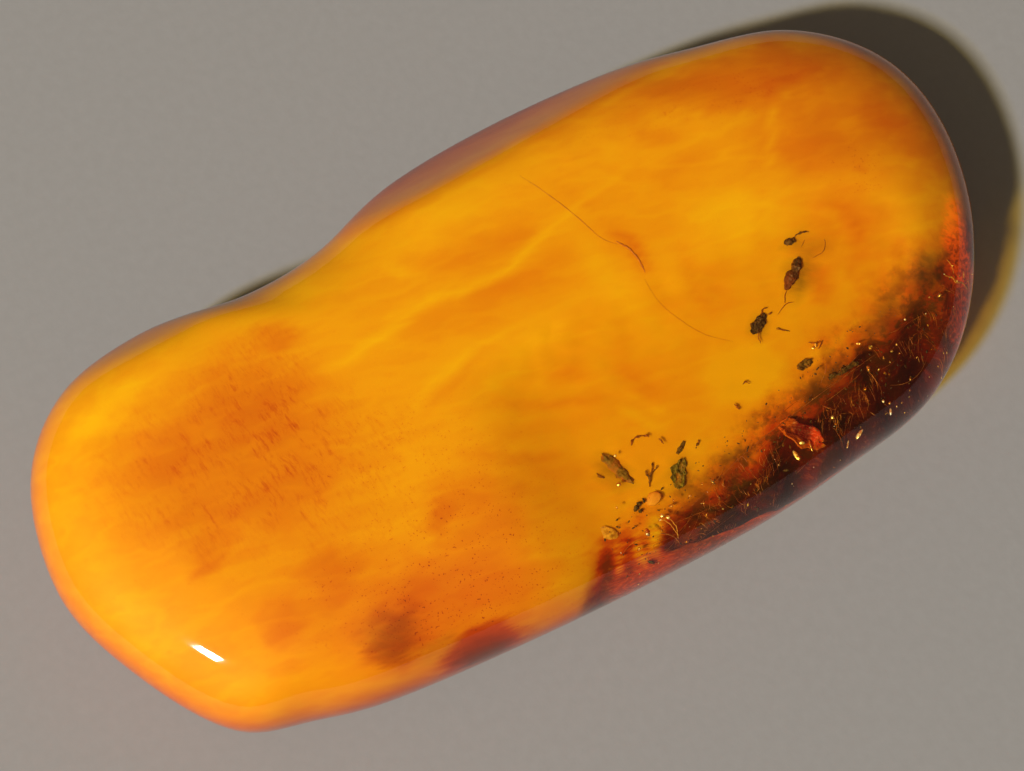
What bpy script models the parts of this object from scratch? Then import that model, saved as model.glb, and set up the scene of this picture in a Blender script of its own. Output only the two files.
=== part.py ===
"""Plant in amber: a polished nugget of natural amber with bits of plant sealed in it.

The nugget lies on its rest flat. Its long axis is +X, its plump milky edge is towards +Y, and its clear
edge, where most of the plant lies, is towards -Y. It is one natural solid. It is parted on a
sloping flow seam only so that each sealed piece of plant has a pocket to lie in, and all the
pieces of plant lie on that seam. Lengths below are in millimetres until a mesh is made.
"""

from math import atan2, pi, radians

import bmesh
import bpy
import numpy as np
from mathutils import Matrix, Vector, noise

MM = 0.001
COLLECTION_NAME = "plant_in_amber"

# The nugget, seen from above: points around its widest line, anticlockwise from the +X end.
OUTLINE = (
    (36.0, 2.4),
    (34.5, 8.6),
    (29.6, 13.3),
    (22.1, 15.5),
    (14.3, 17.2),
    (5.8, 18.0),
    (-1.7, 17.2),
    (-9.4, 14.2),
    (-16.2, 13.6),
    (-23.4, 14.8),
    (-30.3, 13.1),
    (-34.7, 8.2),
    (-36.0, 0.2),
    (-33.6, -7.0),
    (-29.5, -13.2),
    (-24.4, -15.2),
    (-18.2, -16.6),
    (-5.2, -17.6),
    (8.3, -17.9),
    (16.8, -17.2),
    (24.1, -15.9),
    (29.9, -11.8),
    (34.3, -5.1),
)
WAIST_HEIGHT = 6.0  # the height of the widest line
CROWN = 7.3  # from the widest line up to the top
BELLY = 6.4  # from the widest line down to the bottom, before the rest flat is cut
SIDE_FULLNESS = 4.2  # how far the flat top reaches towards the long edges: 2 is a plain ellipse
END_FULLNESS = 6.5  # the same, towards the two ends
RIM_FULLNESS = 2.4  # how upright the rim stands
DOME_RIPPLE = 0.25  # the gentle unevenness that hand polishing leaves on the top
RIPPLE_LENGTH = 52.0
FACET_NORMAL = Vector((-0.04, 0.8, 0.6)).normalized()  # one long ground facet on the upper +Y edge
FACET_DISTANCE = 17.7  # from the origin, along that normal
FACET_SOFTNESS = 0.3  # how softly the facet meets the rest
NUGGET_SUBDIVISIONS = 5

# The flow seam that parts the nugget. It dips with the top towards the clear edge.
SEAM_HEIGHT = 12.45  # over the long axis
SEAM_TILT = 0.09  # rise for each millimetre towards +Y
SEAM_LIFT = 0.02  # how fast it curls up and out of the top on the milky side
SEAM_LIFT_START = -2.0
SEAM_DROP = 2.2  # how far it follows the rounded edge down, at SEAM_EDGE
SEAM_EDGE = 16.0
SEAM_EDGE_POWER = 7
SEAM_GAP = 0.3  # between the two halves, all over the seam
POCKET_GAP = 0.36  # around each piece of plant
POCKET_REACH = 1.25  # how much wider than its piece a pocket is, before the gap

# Sealed pieces of plant: x, y, turn in degrees, colour. Each lies on the seam.
PLACES = {
    "seed_husk": (19.51, -2.45, -6, (0.06, 0.03, 0.005)),
    "bud": (18.46, -4.55, 37, (0.16, 0.035, 0.002)),
    "bark_chip": (14.56, -6.55, 28, (0.03, 0.014, 0.003)),
    "needle": (15.86, -7.65, -37, (0.12, 0.03, 0.002)),
    "green_leaf_scrap": (4.76, -12.75, 54, (0.09, 0.09, 0.004)),
    "olive_leaf_scrap": (1.21, -10.55, -67, (0.13, 0.1, 0.006)),
    "small_leaf": (15.96, -10.35, -3, (0.1, 0.05, 0.004)),
    "long_twig": (5.71, -11.35, 30, (0.07, 0.045, 0.003)),
    "short_twig": (6.81, -11.65, 40, (0.16, 0.05, 0.003)),
    "leaf_stalk": (-0.04, -10.55, -57, (0.1, 0.04, 0.003)),
    "curled_stem": (3.46, -9.55, -10, (0.16, 0.04, 0.002)),
    "dark_twig": (18.16, -11.85, 0, (0.05, 0.03, 0.005)),
    "sprig": (3.06, -11.95, 50, (0.17, 0.08, 0.006)),
    "wood_chip": (-1.34, -13.85, -41, (0.6, 0.2, 0.02)),
    "bract": (13.66, -14.15, -46, (0.6, 0.05, 0.003)),
}

# Round pieces: knots (x, y, z, radius) along each, with its length along X.
STRANDS = {
    "seed_husk": (
        (-0.5, 0.05, 0.0, 0.08),
        (-0.32, 0.02, 0.0, 0.22),
        (-0.02, -0.03, 0.0, 0.3),
        (0.24, 0.0, 0.0, 0.2),
        (0.36, 0.16, 0.02, 0.08),
        (0.6, 0.28, 0.04, 0.055),
        (0.95, 0.3, 0.05, 0.05),
        (1.3, 0.22, 0.03, 0.06),
        (1.48, 0.14, 0.0, 0.03),
    ),
    "bud": (
        (-1.3, 0.0, 0.0, 0.1),
        (-0.95, 0.0, 0.0, 0.26),
        (-0.55, 0.02, 0.0, 0.4),
        (-0.15, 0.0, 0.02, 0.43),
        (0.2, -0.03, 0.0, 0.33),
        (0.55, 0.0, 0.0, 0.4),
        (0.95, 0.04, 0.0, 0.3),
        (1.3, 0.06, 0.0, 0.12),
    ),
    "needle": (
        (-0.47, 0.0, 0.0, 0.03),
        (-0.16, 0.01, 0.0, 0.07),
        (0.16, 0.01, 0.0, 0.07),
        (0.47, -0.02, 0.0, 0.03),
    ),
    "long_twig": (
        (-0.5, 0.0, 0.0, 0.1),
        (-0.17, 0.0, 0.0, 0.14),
        (0.17, 0.01, 0.0, 0.13),
        (0.5, 0.02, 0.0, 0.12),
    ),
    "short_twig": ((-0.3, 0.0, 0.0, 0.07), (0.0, 0.01, 0.0, 0.1), (0.3, 0.0, 0.0, 0.08)),
    "leaf_stalk": (
        (-0.32, 0.04, 0.0, 0.05),
        (-0.1, -0.02, 0.0, 0.09),
        (0.14, 0.0, 0.02, 0.08),
        (0.32, 0.07, 0.0, 0.04),
    ),
    "curled_stem": (
        (-0.62, -0.3, 0.0, 0.05),
        (-0.48, -0.02, 0.0, 0.09),
        (-0.18, 0.12, 0.02, 0.07),
        (0.2, 0.1, 0.04, 0.05),
        (0.6, 0.0, 0.0, 0.07),
    ),
    "dark_twig": (
        (-1.2, 0.0, 0.0, 0.12),
        (-0.8, 0.02, 0.0, 0.2),
        (-0.4, 0.0, 0.0, 0.16),
        (0.0, -0.04, 0.0, 0.24),
        (0.4, 0.0, 0.0, 0.17),
        (0.8, 0.03, 0.0, 0.2),
        (1.2, 0.0, 0.0, 0.1),
    ),
    "sprig": (
        (-0.8, -0.06, 0.0, 0.06),
        (-0.3, 0.04, 0.03, 0.08),
        (0.2, -0.02, 0.0, 0.07),
        (0.75, 0.06, 0.02, 0.05),
    ),
}
SPRIG_TWIGS = (
    ((-0.35, 0.03, 0.03, 0.055), (-0.05, 0.3, 0.08, 0.05), (0.18, 0.4, 0.05, 0.03)),
    ((0.15, -0.02, 0.0, 0.05), (0.42, -0.26, -0.05, 0.05), (0.66, -0.34, -0.02, 0.03)),
)

# Flat pieces: how far the sides lift (cup) and how ragged the edge is (torn). A seed picks the tear.
SCRAPS = {
    "green_leaf_scrap": {"length": 1.8, "width": 0.95, "cup": 0.16, "torn": 0.5, "seed": 3.1},
    "olive_leaf_scrap": {"length": 2.3, "width": 0.95, "cup": -0.2, "torn": 0.6, "seed": 7.7},
    "small_leaf": {"length": 1.05, "width": 0.6, "cup": 0.1, "torn": 0.3, "seed": 5.2},
    "bract": {"length": 3.3, "width": 1.5, "cup": 0.36, "torn": 0.28, "seed": 1.4},
}
SCRAP_THICKNESS = 0.12

# Splintered chips, with the number of ribs across each.
CHIPS = {
    "bark_chip": {"length": 1.65, "width": 0.75, "height": 0.4, "ribs": 1},
    "wood_chip": {"length": 1.45, "width": 0.75, "height": 0.35, "ribs": 3},
}
WELD = 1e-4

AMBER_COLOUR = (0.86, 0.34, 0.01)
AMBER_ROUGHNESS = 0.06
AMBER_ALPHA = 0.55
PLANT_ROUGHNESS = 0.6


def closed_curve(points, steps=24):
    """A smooth closed curve through the points: Catmull-Rom, with the given steps from one to the next."""
    p1 = np.array(points, float)
    p0, p2, p3 = np.roll(p1, 1, 0), np.roll(p1, -1, 0), np.roll(p1, -2, 0)
    runs = []
    for t in np.arange(steps) / steps:
        bend = (2 * p0 - 5 * p1 + 4 * p2 - p3) * t**2 + (3 * p1 - p0 - 3 * p2 + p3) * t**3
        runs.append(p1 + 0.5 * ((p2 - p0) * t + bend))
    return np.stack(runs, 1).reshape(-1, 2)


def swell(across, up, fullness):
    """How far a point of the unit sphere moves out to reach the fuller form of the nugget."""
    near, far = np.ones_like(across), np.full_like(across, 1.5)
    for _ in range(30):
        middle = (near + far) / 2
        inside = (middle * across) ** fullness + (middle * up) ** RIM_FULLNESS < 1
        near, far = np.where(inside, middle, near), np.where(inside, far, middle)
    return near


def nugget_surface(sphere):
    """Points of the unit sphere, carried out to the surface of the nugget."""
    curve = closed_curve(OUTLINE)
    half_length, half_width = np.ptp(curve, 0) / 2
    bearings = np.arctan2(curve[:, 1] / half_width, curve[:, 0] / half_length)
    reaches = np.hypot(curve[:, 0], curve[:, 1])
    order = np.argsort(bearings)
    x, y, z = np.array(sphere, float).T
    across = np.hypot(x, y)
    bearing = np.arctan2(y, x)
    reach = np.interp(bearing, bearings[order], reaches[order], period=2 * pi)
    true_angle = np.arctan2(y * half_width, x * half_length)
    fullness = SIDE_FULLNESS + (END_FULLNESS - SIDE_FULLNESS) * np.cos(bearing) ** 2
    grow = swell(across, abs(z), fullness)
    out = grow * across * reach
    height = np.where(z > 0, CROWN, BELLY) * grow * z
    points = np.stack([out * np.cos(true_angle), out * np.sin(true_angle), height], 1)
    wave = points * 2 * pi / RIPPLE_LENGTH
    ripple = DOME_RIPPLE * np.sin(wave[:, 0] + 0.8) * np.cos(wave[:, 1])
    points[:, 2] += WAIST_HEIGHT + ripple * np.clip(z, 0, 1)
    return ground(points)


def ground(points):
    """Grinds the long facet: what stands out past its plane is pressed back onto it, softly."""
    past = (points @ np.array(FACET_NORMAL) - FACET_DISTANCE) / FACET_SOFTNESS
    return points - np.outer(FACET_SOFTNESS * np.logaddexp(0, past), FACET_NORMAL)


def seam_height(y):
    """The height of the flow seam at a distance y across the nugget."""
    lifted = SEAM_LIFT * np.maximum(y - SEAM_LIFT_START, 0) ** 2
    dropped = SEAM_DROP * (np.maximum(-y, 0) / SEAM_EDGE) ** SEAM_EDGE_POWER
    return SEAM_HEIGHT + SEAM_TILT * y + lifted - dropped


def seam_slope(y):
    """The seam's own slope across the nugget, as an angle about X."""
    step = 0.01
    return atan2(seam_height(y + step) - seam_height(y - step), 2 * step)


# Scene set-up and shared helpers.


def clear_scene():
    for thing in list(bpy.data.objects):
        bpy.data.objects.remove(thing)


def new_collection(name):
    collection = bpy.data.collections.new(name)
    bpy.context.scene.collection.children.link(collection)
    return collection


def material(name, colour, roughness, alpha=1.0):
    """A named Principled material. Nothing here is metal."""
    made = bpy.data.materials.new(name)
    made.use_nodes = True
    shader = made.node_tree.nodes["Principled BSDF"]
    shader.inputs["Base Color"].default_value = (*colour, 1.0)
    shader.inputs["Roughness"].default_value = roughness
    shader.inputs["Metallic"].default_value = 0.0
    shader.inputs["Alpha"].default_value = alpha
    return made


def object_from(bm, name, collection):
    """Turns a bmesh in millimetres into a smooth-shaded object in metres."""
    bmesh.ops.transform(bm, matrix=Matrix.Scale(MM, 4), verts=bm.verts)
    mesh = bpy.data.meshes.new(name)
    bm.to_mesh(mesh)
    bm.free()
    mesh.shade_smooth()
    mesh.set_sharp_from_angle(angle=radians(40))
    made = bpy.data.objects.new(name, mesh)
    collection.objects.link(made)
    return made


def as_guide(cutter):
    cutter.hide_render = True
    cutter.display_type = "WIRE"
    return cutter


def cut(target, cutter, operation="DIFFERENCE"):
    boolean = target.modifiers.new("cut " + cutter.name, "BOOLEAN")
    boolean.solver = "EXACT"
    boolean.operation = operation
    boolean.object = cutter


# The amber.


def nugget(name, collection):
    """The whole nugget: a primitive sphere carried out to the nugget's surface, with its rest flat cut."""
    bm = bmesh.new()
    bmesh.ops.create_icosphere(bm, subdivisions=NUGGET_SUBDIVISIONS, radius=1.0)
    bm.verts.ensure_lookup_table()
    sphere = np.array([vertex.co.normalized() for vertex in bm.verts])
    for vertex, place in zip(bm.verts, nugget_surface(sphere)):
        vertex.co = place
    everything = [*bm.verts, *bm.edges, *bm.faces]
    cut_line = bmesh.ops.bisect_plane(
        bm, geom=everything, dist=1e-4, plane_co=(0, 0, 0), plane_no=(0, 0, -1), clear_outer=True
    )
    rim = [part for part in cut_line["geom_cut"] if isinstance(part, bmesh.types.BMEdge)]
    bmesh.ops.edgenet_fill(bm, edges=rim)
    return object_from(bm, name, collection)


def seam_block(name, drop, collection):
    """A block whose underside is the flow seam, moved down by drop. It covers the nugget from above."""
    half_length, front, back, top, step = 45.0, -24.0, 12.0, 22.0, 2.0
    bm = bmesh.new()
    rows = round((back - front) / step)
    bmesh.ops.create_grid(bm, x_segments=1, y_segments=rows, size=1.0)
    for vertex in bm.verts:
        y = front + (vertex.co.y + 1) / 2 * (back - front)
        vertex.co = (vertex.co.x * half_length, y, seam_height(y) - drop)
    roof = bmesh.ops.extrude_face_region(bm, geom=bm.faces[:])
    for part in roof["geom"]:
        if isinstance(part, bmesh.types.BMVert):
            part.co.z = top
    bmesh.ops.recalc_face_normals(bm, faces=bm.faces)
    return as_guide(object_from(bm, name, collection))


# Pieces of plant. Each is made about its own origin, flat in XY and with its length along X.


def strand(name, knots, collection):
    """A solid stalk, twig or husk: a bevelled curve through knots, each an (x, y, z, radius)."""
    curve = bpy.data.curves.new(name, "CURVE")
    curve.dimensions = "3D"
    curve.bevel_depth = 1.0
    curve.bevel_resolution = 2
    curve.use_fill_caps = True
    spline = curve.splines.new("POLY")
    spline.points.add(len(knots) - 1)
    for point, (x, y, z, radius) in zip(spline.points, knots):
        point.co = (x, y, z, 1.0)
        point.radius = radius
    drawn = bpy.data.objects.new(name, curve)
    collection.objects.link(drawn)
    evaluated = drawn.evaluated_get(bpy.context.evaluated_depsgraph_get())
    mesh = bpy.data.meshes.new_from_object(evaluated)
    bpy.data.objects.remove(drawn)
    bm = bmesh.new()
    bm.from_mesh(mesh)
    bmesh.ops.remove_doubles(bm, verts=bm.verts, dist=WELD)
    bmesh.ops.recalc_face_normals(bm, faces=bm.faces)
    return object_from(bm, name, collection)


def scrap(name, collection, length, width, cup, torn, seed):
    """A torn scrap of leaf: a grid drawn in towards both ends, its edge torn and its sides lifted by cup."""
    bm = bmesh.new()
    bmesh.ops.create_grid(bm, x_segments=9, y_segments=5, size=1.0)
    for vertex in bm.verts:
        along, side = vertex.co.x, vertex.co.y
        half_width = width / 2 * (1 - 0.75 * abs(along) ** 3)
        tear = torn * noise.noise(Vector((along * 2.3, side * 2.3, seed)))
        x = length / 2 * along * (1 + tear * abs(along))
        y = half_width * side * (1 + 2 * tear * abs(side))
        z = cup * side**2 + cup * 0.6 * along * side + 0.4 * cup * noise.noise(Vector((x, y, seed)))
        vertex.co = (x, y, z)
    made = object_from(bm, name, collection)
    thick = made.modifiers.new("thickness", "SOLIDIFY")
    thick.thickness = SCRAP_THICKNESS * MM
    thick.offset = 0.0
    return made


def chip(name, collection, length, width, height, ribs):
    """A splintered chip: a divided block, blunted at its ends, with ribs along it and a rough skin."""
    bm = bmesh.new()
    bmesh.ops.create_cube(bm, size=2.0)
    bmesh.ops.subdivide_edges(bm, edges=bm.edges[:], cuts=3, use_grid_fill=True)
    for vertex in bm.verts:
        along, side, up = vertex.co
        blunt = 1 - 0.45 * abs(along) ** 4
        rib = 1 + 0.16 * np.cos(side * pi * ribs)
        rough = 1 + 0.22 * noise.noise(vertex.co * 1.7)
        vertex.co = (length / 2 * along * (1 - 0.12 * side**2), width / 2 * side * blunt * rough, 0)
        vertex.co.z = height / 2 * up * blunt * rib * rough
    bmesh.ops.recalc_face_normals(bm, faces=bm.faces)
    return object_from(bm, name, collection)


def add_side_twigs(stem, guides):
    """Joins the sprig's side twigs to its stem."""
    for number, knots in enumerate(SPRIG_TWIGS, 1):
        twig = as_guide(strand(f"side_twig_{number}", knots, guides))
        twig.parent = stem
        cut(stem, twig, "UNION")


def lay_on_seam(piece, x, y, turn):
    """Lays a piece on the flow seam at x, y, turned by that many degrees about the seam's upright."""
    place = Matrix.Translation(Vector((x, y, seam_height(y))) * MM)
    slope = Matrix.Rotation(seam_slope(y), 4, "X")
    piece.matrix_world = place @ slope @ Matrix.Rotation(radians(turn), 4, "Z")


def pocket(piece, guides):
    """A smooth hollow for a piece: a primitive sphere, scaled to clear the piece's own box all round."""
    evaluated = piece.evaluated_get(bpy.context.evaluated_depsgraph_get())
    corners = np.array(evaluated.bound_box) / MM
    centre = (corners.max(0) + corners.min(0)) / 2
    half_sizes = np.ptp(corners, 0) / 2 * POCKET_REACH + POCKET_GAP
    bm = bmesh.new()
    bmesh.ops.create_uvsphere(bm, u_segments=10, v_segments=6, radius=1.0)
    for vertex in bm.verts:
        vertex.co = Vector(np.array(vertex.co) * half_sizes + centre)
    hollow = as_guide(object_from(bm, f"pocket_{piece.name}", guides))
    hollow.matrix_world = piece.matrix_world
    return hollow


def plant_pieces(collection, guides):
    """Every sealed piece of plant, laid in its place."""
    made = {name: strand(name, knots, collection) for name, knots in STRANDS.items()}
    made |= {name: scrap(name, collection, **sizes) for name, sizes in SCRAPS.items()}
    made |= {name: chip(name, collection, **sizes) for name, sizes in CHIPS.items()}
    add_side_twigs(made["sprig"], guides)
    for name, piece in made.items():
        x, y, turn, colour = PLACES[name]
        lay_on_seam(piece, x, y, turn)
        piece.data.materials.append(material(name, colour, PLANT_ROUGHNESS))
    return list(made.values())


def build():
    clear_scene()
    collection = new_collection(COLLECTION_NAME)
    guides = new_collection("cutters")
    guides.hide_render = True
    plants = plant_pieces(collection, guides)
    pockets = [pocket(piece, guides) for piece in plants]
    amber_colour = material("amber", AMBER_COLOUR, AMBER_ROUGHNESS, AMBER_ALPHA)
    lower = nugget("amber_lower", collection)
    cut(lower, seam_block("above_the_seam", SEAM_GAP / 2, guides))
    upper = nugget("amber_upper", collection)
    cut(upper, seam_block("cap_of_the_seam", -SEAM_GAP / 2, guides), "INTERSECT")
    for half in (lower, upper):
        half.data.materials.append(amber_colour)
        for hollow in pockets:
            cut(half, hollow)


build()
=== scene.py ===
"""Plant in amber: the finish of a polished amber nugget, and of everything that is sealed in it.

The nugget is one clear body. Close under its skin lies the milky amber. It ends short of the long
edge towards -Y, which is clear, and there it falls away to dark resin near the bottom. The pieces
of plant lie where the milk meets the clear amber, with the dust, hairs and bright flakes that were
trapped with them. Places and lengths are in millimetres, and become metres as a mesh is made.
"""

from math import cos, pi, radians, sin

import bmesh
import bpy
import numpy as np
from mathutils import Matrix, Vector, noise
from mathutils.bvhtree import BVHTree


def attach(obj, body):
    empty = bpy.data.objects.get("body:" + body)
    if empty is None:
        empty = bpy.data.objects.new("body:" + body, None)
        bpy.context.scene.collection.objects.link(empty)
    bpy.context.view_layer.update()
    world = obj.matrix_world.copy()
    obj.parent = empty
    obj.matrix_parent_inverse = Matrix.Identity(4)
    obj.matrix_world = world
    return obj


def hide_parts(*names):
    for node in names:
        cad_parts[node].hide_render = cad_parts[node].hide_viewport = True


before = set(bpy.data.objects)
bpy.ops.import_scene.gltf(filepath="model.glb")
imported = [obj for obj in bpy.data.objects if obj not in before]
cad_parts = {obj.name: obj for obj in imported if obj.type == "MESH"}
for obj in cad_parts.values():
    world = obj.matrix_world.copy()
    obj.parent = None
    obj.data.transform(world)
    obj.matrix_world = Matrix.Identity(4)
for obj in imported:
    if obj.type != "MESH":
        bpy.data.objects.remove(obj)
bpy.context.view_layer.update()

MM = 0.001
BODY = "root"

# The nugget. These values are the CAD part's own, and the functions below them give its form.
OUTLINE = (
    (36.0, 2.4), (34.5, 8.6), (29.6, 13.3), (22.1, 15.5), (14.3, 17.2), (5.8, 18.0),
    (-1.7, 17.2), (-9.4, 14.2), (-16.2, 13.6), (-23.4, 14.8), (-30.3, 13.1), (-34.7, 8.2),
    (-36.0, 0.2), (-33.6, -7.0), (-29.5, -13.2), (-24.4, -15.2), (-18.2, -16.6), (-5.2, -17.6),
    (8.3, -17.9), (16.8, -17.2), (24.1, -15.9), (29.9, -11.8), (34.3, -5.1),
)
WAIST_HEIGHT = 6.0
CROWN = 7.3
BELLY = 6.4
SIDE_FULLNESS = 4.2
END_FULLNESS = 6.5
RIM_FULLNESS = 2.4
DOME_RIPPLE = 0.25
RIPPLE_LENGTH = 52.0
RIPPLE_SHIFT = 0.8
FURTHEST_SWELL = 1.5
SWELL_HALVINGS = 30
FACET_NORMAL = Vector((-0.04, 0.8, 0.6)).normalized()
FACET_DISTANCE = 17.7
FACET_SOFTNESS = 0.3
FLAT_SOFTNESS = 0.01  # how softly the rest flat meets the rest
SEAM_HEIGHT = 12.45
SEAM_TILT = 0.09
SEAM_LIFT = 0.02
SEAM_LIFT_START = -2.0
SEAM_DROP = 2.2
SEAM_EDGE = 16.0
SEAM_EDGE_POWER = 7
SKIN_SUBDIVISIONS = 7

# The milky amber inside it.
MILK_DEPTH = 0.2  # under the skin
MILK_RELIEF = 0.06  # how uneven its surface is
SWIRL_SEED = 4
SWIRL_SIZES = (2.9, 0.8, 0.35)  # broad, fine and finest
MARK_DRIFTS = (0.9, 0.7, 0.35)  # how far each of them carries its marks
STREAK_DRIFTS = (0.5, 0.15)
EDGE_DRIFTS = (1.5, 1.2)  # how far the broad ones carry its edge, along X and Y
BED_X, BED_Y = (-8.0, 0.0), (3.0, -2.0)  # where the bed of the plants sets in, and is full
BED_GAP = 0.02  # how far under the pieces of plant it keeps
BED_RELIEF = 0.12
BED_SOFTNESS = 0.08
CLEAR_EDGE_START = (-3.3, -14.95)  # where the milk ends: from here it bends on towards +X
CLEAR_EDGE_RISE = 0.104
CLEAR_EDGE_BEND = 0.003
CLEAR_DROP = (-0.3, 4.2)  # past its end, from its top down to the dark resin
CLEAR_START = (0.5, 2.0)  # past its end, where the clear amber's own marks set in
MILK_TOP = 12.9
RESIN_TOP = 2.2
RESIN_RISE = 4.2  # how much higher the dark resin stands at the end towards -X
RESIN_RISE_X = (5.0, -2.0)
RESIN_RELIEF = 0.3
LIP_TOP = 6.1  # of the thin red lip that the resin has along the clear rim, where rim light is painted
LIP_WIDTH = 0.42
LIP_EDGE = (-0.35, 0.25)  # across it, from outside it to inside it
LIP_RELIEF = 0.4
LIP_WANDER = 0.15
LIP_FADE_X = (12.0, 2.0)  # where it thins and darkens towards -X
MILKY_RIM = 4.0  # how far past the rim the line runs where the milk reaches it
MILKY_RIM_X = (1.5, -3.0)  # from the start of the clear edge
CLEAR_RIM = 0.75  # how much further from the skin the dark resin keeps
CLEAR_RIM_START = (-1.0, 1.5)


# The nugget's form.


def between(a, b, c, d, t):
    """A point a share t of the way from b to c, on a smooth curve through all four."""
    bend = (2 * a - 5 * b + 4 * c - d) * t**2 + (3 * b - a - 3 * c + d) * t**3
    return b + 0.5 * ((c - a) * t + bend)


def closed_curve(points, steps=24):
    """A smooth closed curve through the points, with the given steps from one to the next."""
    points = np.array(points, float)
    before, after, further = (np.roll(points, turn, 0) for turn in (1, -1, -2))
    runs = [between(before, points, after, further, t) for t in np.arange(steps) / steps]
    return np.stack(runs, 1).reshape(-1, 2)


def swell(across, up, fullness):
    """How far a point of the unit sphere moves out to reach the fuller form of the nugget."""
    near, far = np.ones_like(across), np.full_like(across, FURTHEST_SWELL)
    for _ in range(SWELL_HALVINGS):
        middle = (near + far) / 2
        inside = (middle * across) ** fullness + (middle * up) ** RIM_FULLNESS < 1
        near, far = np.where(inside, middle, near), np.where(inside, far, middle)
    return near


def nugget_surface(sphere):
    """Points of the unit sphere, carried out to the surface of the nugget."""
    curve = closed_curve(OUTLINE)
    half_length, half_width = np.ptp(curve, 0) / 2
    bearings = np.arctan2(curve[:, 1] / half_width, curve[:, 0] / half_length)
    reaches = np.hypot(curve[:, 0], curve[:, 1])
    order = np.argsort(bearings)
    x, y, z = np.array(sphere, float).T
    across = np.hypot(x, y)
    bearing = np.arctan2(y, x)
    reach = np.interp(bearing, bearings[order], reaches[order], period=2 * pi)
    true_angle = np.arctan2(y * half_width, x * half_length)
    fullness = SIDE_FULLNESS + (END_FULLNESS - SIDE_FULLNESS) * np.cos(bearing) ** 2
    grow = swell(across, abs(z), fullness)
    out = grow * across * reach
    height = np.where(z > 0, CROWN, BELLY) * grow * z
    points = np.stack([out * np.cos(true_angle), out * np.sin(true_angle), height], 1)
    wave = points * 2 * pi / RIPPLE_LENGTH
    ripple = DOME_RIPPLE * np.sin(wave[:, 0] + RIPPLE_SHIFT) * np.cos(wave[:, 1])
    points[:, 2] += WAIST_HEIGHT + ripple * np.clip(z, 0, 1)
    return rest(ground(points))


def ground(points):
    """Grinds the long facet: what stands out past its plane is pressed back onto it, softly."""
    past = (points @ np.array(FACET_NORMAL) - FACET_DISTANCE) / FACET_SOFTNESS
    return points - np.outer(FACET_SOFTNESS * np.logaddexp(0, past), FACET_NORMAL)


def rest(points):
    """Presses what is below the rest flat up onto it."""
    points[:, 2] = FLAT_SOFTNESS * np.logaddexp(0, points[:, 2] / FLAT_SOFTNESS)
    return points


def seam_height(y):
    """The height at which the pieces of plant lie, at a distance y across the nugget."""
    lifted = SEAM_LIFT * np.maximum(y - SEAM_LIFT_START, 0) ** 2
    dropped = SEAM_DROP * (np.maximum(-y, 0) / SEAM_EDGE) ** SEAM_EDGE_POWER
    return SEAM_HEIGHT + SEAM_TILT * y + lifted - dropped


def smooth(value, low, high):
    """From 0 at low to 1 at high, with soft ends."""
    t = np.clip((value - low) / (high - low), 0, 1)
    return t * t * (3 - 2 * t)


def soft_excess(value, limit, softness=0.12):
    """How far a value stands over a limit, with a soft start."""
    return softness * np.logaddexp(0, (value - limit) / softness)


def past_milk(x, y):
    """How far past the line where the milk ends a place is. It is negative over the milk."""
    along = x - CLEAR_EDGE_START[0]
    line = CLEAR_EDGE_START[1] + CLEAR_EDGE_RISE * along + CLEAR_EDGE_BEND * along**2
    return line - y - MILKY_RIM * smooth(along, *MILKY_RIM_X)


# Meshes.


def new_object(name, data):
    made = bpy.data.objects.new(name, data)
    bpy.context.scene.collection.objects.link(made)
    return made


def mesh_object(name, points, faces):
    """A smooth object from points in millimetres."""
    mesh = bpy.data.meshes.new(name)
    mesh.from_pydata((np.asarray(points) * MM).tolist(), [], faces)
    mesh.update()
    mesh.shade_smooth()
    return new_object(name, mesh)


def ball(subdivisions):
    """Points and faces of a unit sphere."""
    bm = bmesh.new()
    bmesh.ops.create_icosphere(bm, subdivisions=subdivisions, radius=1.0)
    points = np.array([vertex.co.normalized() for vertex in bm.verts])
    faces = [[vertex.index for vertex in face.verts] for face in bm.faces]
    bm.free()
    return points, faces


def joined(name, shapes):
    """One object from many small shapes, each its own points and faces."""
    points, faces, start = [], [], 0
    for own_points, own_faces in shapes:
        points.append(own_points)
        faces += [[corner + start for corner in face] for face in own_faces]
        start += len(own_points)
    return mesh_object(name, np.concatenate(points), faces)


def tube(path, radii, sides=4):
    """Points and faces of a round thread along a path, closed at both ends."""
    path = np.array(path, float)
    along = np.gradient(path, axis=0)
    along /= np.linalg.norm(along, axis=1)[:, None]
    side = np.cross(along, (0.13, 0.21, 0.97))
    side /= np.linalg.norm(side, axis=1)[:, None]
    rise = np.cross(side, along)
    turns = np.arange(sides) * 2 * pi / sides
    rings = [p + r * (np.outer(np.cos(turns), s) + np.outer(np.sin(turns), u))
             for p, r, s, u in zip(path, radii, side, rise)]
    faces = [list(range(sides))[::-1]]
    for ring in range(len(path) - 1):
        for k in range(sides):
            a, b = ring * sides + k, ring * sides + (k + 1) % sides
            faces.append([a, b, b + sides, a + sides])
    faces.append([k + (len(path) - 1) * sides for k in range(sides)])
    return np.concatenate(rings), faces


def finished(piece, finish):
    """Gives a piece its finish and its material slot, and lets it ride with the nugget."""
    piece.data.materials.clear()
    piece.data.materials.append(finish.material)
    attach(piece, BODY)
    return piece


# Finishes.


class Value:
    """A number that changes over a finish. Sums on it add the Math nodes that work it out."""

    def __init__(self, finish, socket):
        self.finish, self.socket = finish, socket

    def sum(self, operation, *terms):
        node = self.finish.add("ShaderNodeMath", dict(enumerate(terms)), operation=operation)
        return Value(self.finish, node.outputs[0])

    def __add__(self, other):
        return self.sum("ADD", self, other)

    def __sub__(self, other):
        return self.sum("SUBTRACT", self, other)

    def __rsub__(self, other):
        return self.sum("SUBTRACT", other, self)

    def __mul__(self, other):
        return self.sum("MULTIPLY", self, other)

    def __pow__(self, other):
        return self.sum("POWER", self, other)

    def __abs__(self):
        return self.sum("ABSOLUTE", self, 0.0)

    __radd__ = __add__
    __rmul__ = __mul__


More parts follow.
